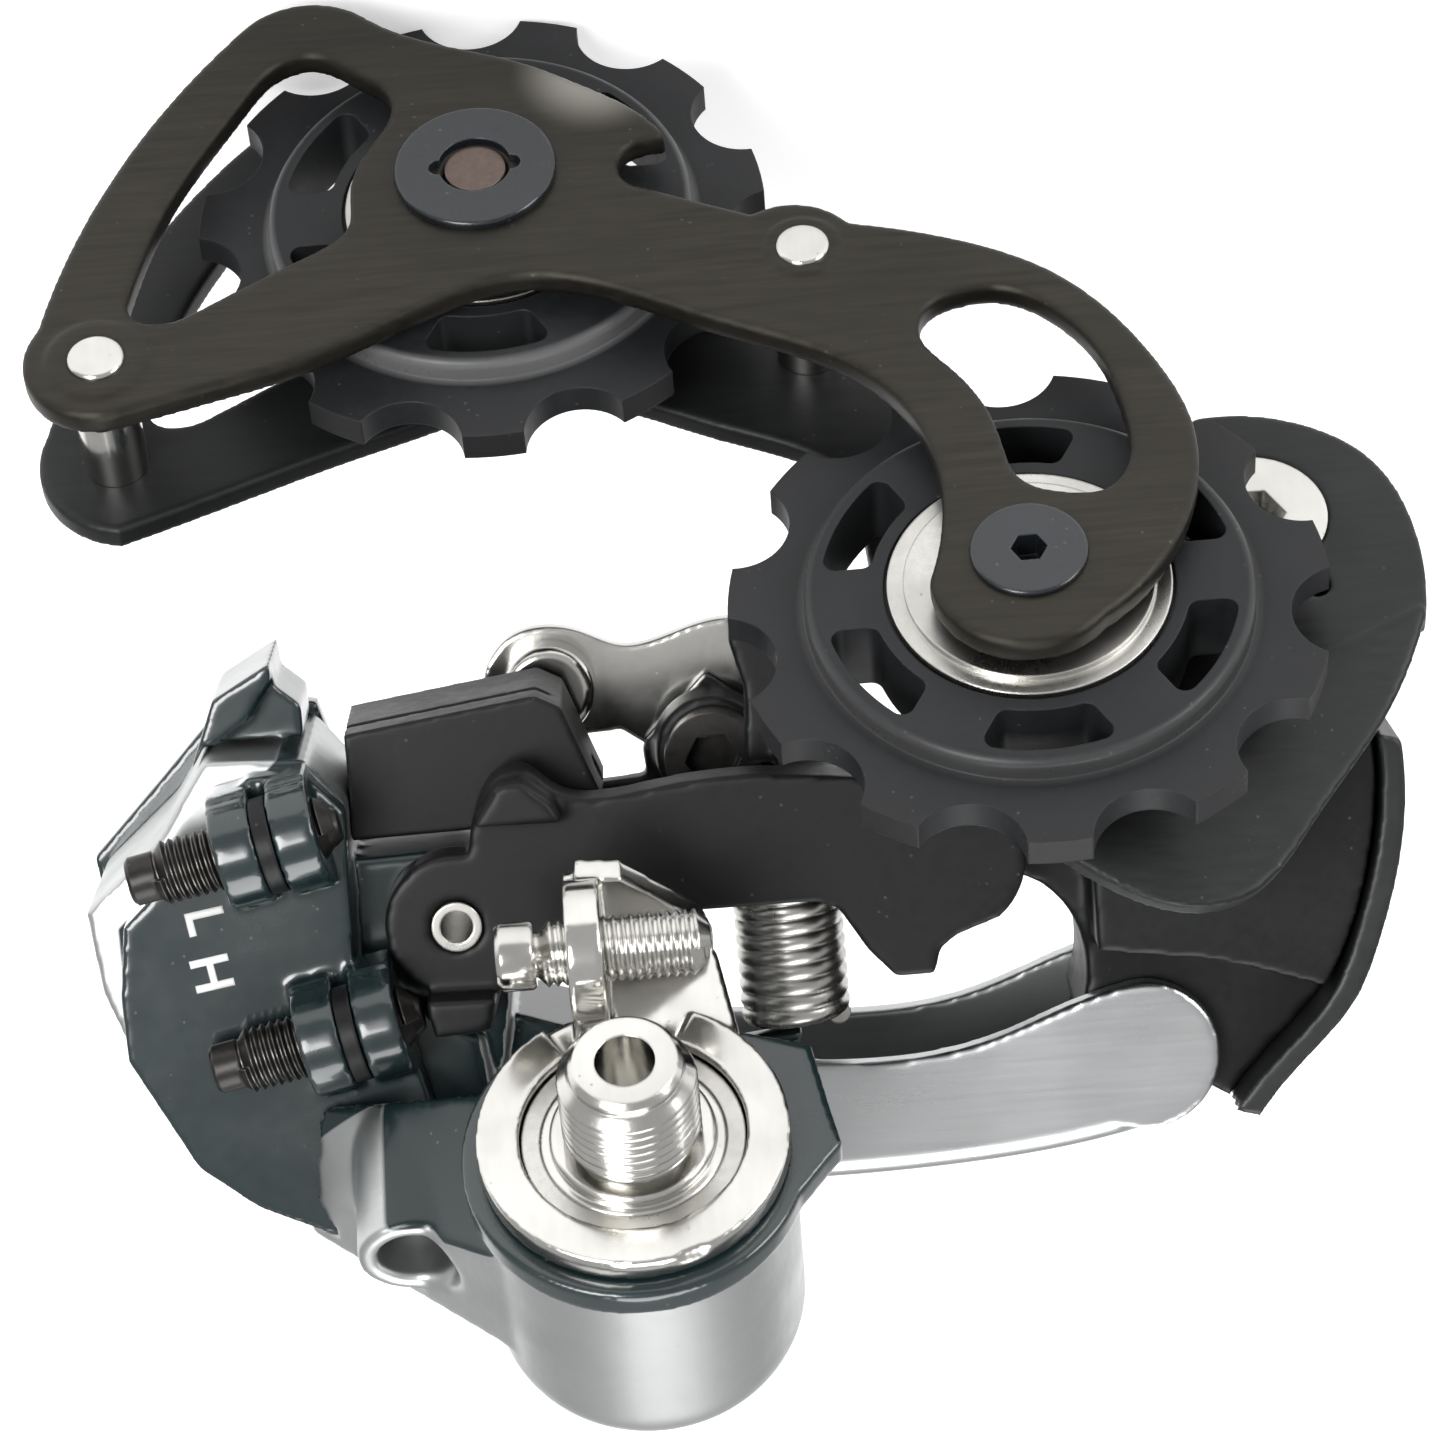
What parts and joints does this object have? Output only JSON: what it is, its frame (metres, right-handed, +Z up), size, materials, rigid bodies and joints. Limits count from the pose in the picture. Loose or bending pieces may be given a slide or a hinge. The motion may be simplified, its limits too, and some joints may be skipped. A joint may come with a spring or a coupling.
{
  "type": "rear bicycle derailleur",
  "caption": "Short-cage rear derailleur: slanted parallelogram between two knuckles, sprung cage with toothed jockey pulleys, hanger bolt, stop plate and adjusting screws.",
  "frame": {"origin": "on the mounting bolt's axis, at the stop plate's face that meets the hanger", "axes": "+X forward on the bicycle, +Y inboard towards the wheel along the mounting bolt, +Z up"},
  "size_m": [0.1108, 0.0623, 0.1175],
  "materials": {
    "pulley_plastic": "moulded, satin with wear",
    "cage_steel": "brushed brown-black anodised",
    "cage_satin": "satin dark grey",
    "bright_chrome": "polished nickel",
    "steel": "bare steel",
    "dark_steel": "dark steel",
    "silver_alloy": "satin to polished",
    "dark_gloss": "gloss green-black paint",
    "matte_black": "matte black",
    "bronze": "sintered bush",
    "rubber_black": "soft seal"
  },
  "bodies": {
    "hanger_mount": {"mounting_bolt": "bright_chrome", "stop_plate": "bright_chrome", "bolt_retaining_ring": "steel", "b_spring": "steel"},
    "b_screw": {"b_tension_screw": "bright_chrome"},
    "b_knuckle": {"b_knuckle_body": "silver_alloy", "b_knuckle_face": "dark_gloss", "b_knuckle_back": "dark_gloss", "b_flange": "dark_gloss", "b_bush": "bronze", "b_dust_seal": "rubber_black", "low_lug_insert": "matte_black", "high_lug_insert": "matte_black", "cable_stop": "matte_black", "cable_stop_shell": "dark_gloss", "rear_inner_pin": "steel", "rear_outer_pin": "steel", "return_spring": "steel"},
    "low_screw": {"low_limit_screw": "dark_steel"},
    "high_screw": {"high_limit_screw": "dark_steel"},
    "inner_link": {"inner_link": "matte_black", "cable_clamp_plate": "bright_chrome", "cable_clamp_bolt": "dark_steel", "cable_clamp_nut": "dark_steel", "cable_clamp_peg": "bright_chrome"},
    "outer_link": {"outer_link": "silver_alloy"},
    "p_knuckle": {"p_knuckle_body": "dark_gloss", "p_knuckle_cover": "matte_black", "p_bush": "bronze", "p_seal_ring": "rubber_black", "p_end_cap": "silver_alloy", "p_spring": "steel", "front_inner_pin": "steel", "front_outer_pin": "steel"},
    "cage": {"cage_outer_plate": "cage_satin", "cage_inner_plate": "cage_steel", "cage_end_spacer": "steel", "cage_mid_spacer": "steel", "cage_stop_pin": "steel", "guide_bolt": "dark_steel", "tension_bolt": "dark_steel", "tension_flange_nut": "dark_steel", "tension_bush": "steel", "tension_cap_inner": "steel", "tension_cap_outer": "steel", "p_axle": "bright_chrome", "p_axle_circlip": "steel"},
    "guide_float": {"guide_bush": "steel", "guide_cap_inner": "steel", "guide_cap_outer": "steel"},
    "guide_wheel": {"guide_pulley": "pulley_plastic"},
    "tension_wheel": {"tension_pulley": "pulley_plastic"}
  },
  "joints": [
    {"name": "b_pivot", "type": "hinge", "parent": "hanger_mount", "child": "b_knuckle", "pos_m": [0, 0, 0], "axis": [0, -1, 0], "range_deg": [0, 30], "stiffness_Nm_per_rad": 0.4, "springref_deg": -57.3},
    {"name": "b_tension_adjust", "type": "slide", "parent": "hanger_mount", "child": "b_screw", "axis": [1, 0, 0], "range_m": [-0.002, 0.002]},
    {"name": "low_limit_adjust", "type": "slide", "parent": "b_knuckle", "child": "low_screw", "axis": [0.9816, 0.1462, -0.1226], "range_m": [-0.002, 0.002]},
    {"name": "high_limit_adjust", "type": "slide", "parent": "b_knuckle", "child": "high_screw", "axis": [0.9816, 0.1462, -0.1226], "range_m": [-0.002, 0.0001]},
    {"name": "shift", "type": "hinge", "parent": "b_knuckle", "child": "inner_link", "pos_m": [-0.013, -0.01266, -0.03376], "axis": [0, 0.6428, 0.766], "range_deg": [0, 40], "stiffness_Nm_per_rad": 0.5, "springref_deg": -34.38, "deforming": ["return_spring"]},
    {"name": "outer_link_pivot", "type": "hinge", "parent": "b_knuckle", "child": "outer_link", "pos_m": [0.002, -0.02706, -0.02167], "axis": [0, 0.6428, 0.766], "range_deg": [0, 40]},
    {"name": "p_knuckle_pivot", "type": "hinge", "parent": "inner_link", "child": "p_knuckle", "pos_m": [0.0265, -0.01128, -0.03492], "axis": [0, 0.6428, 0.766], "range_deg": [-40, 0]},
    {"name": "cage_pivot", "type": "hinge", "parent": "p_knuckle", "child": "cage", "pos_m": [0.053, 0, -0.0477], "axis": [0, -1, 0], "range_deg": [0, 110], "stiffness_Nm_per_rad": 0.25, "springref_deg": -68.75},
    {"name": "guide_side_float", "type": "slide", "parent": "cage", "child": "guide_float", "axis": [0, 1, 0], "range_m": [-0.0004, 0.0004]},
    {"name": "guide_spin", "type": "hinge", "parent": "guide_float", "child": "guide_wheel", "pos_m": [0.0341, 0.015, -0.0354], "axis": [0, 1, 0], "continuous": true},
    {"name": "tension_spin", "type": "hinge", "parent": "cage", "child": "tension_wheel", "pos_m": [-0.007, 0.015, -0.0809], "axis": [0, 1, 0], "continuous": true}
  ],
  "couplings": [
    {"joint": "outer_link_pivot", "follows": "shift", "ratio": 1},
    {"joint": "p_knuckle_pivot", "follows": "shift", "ratio": -1}
  ]
}
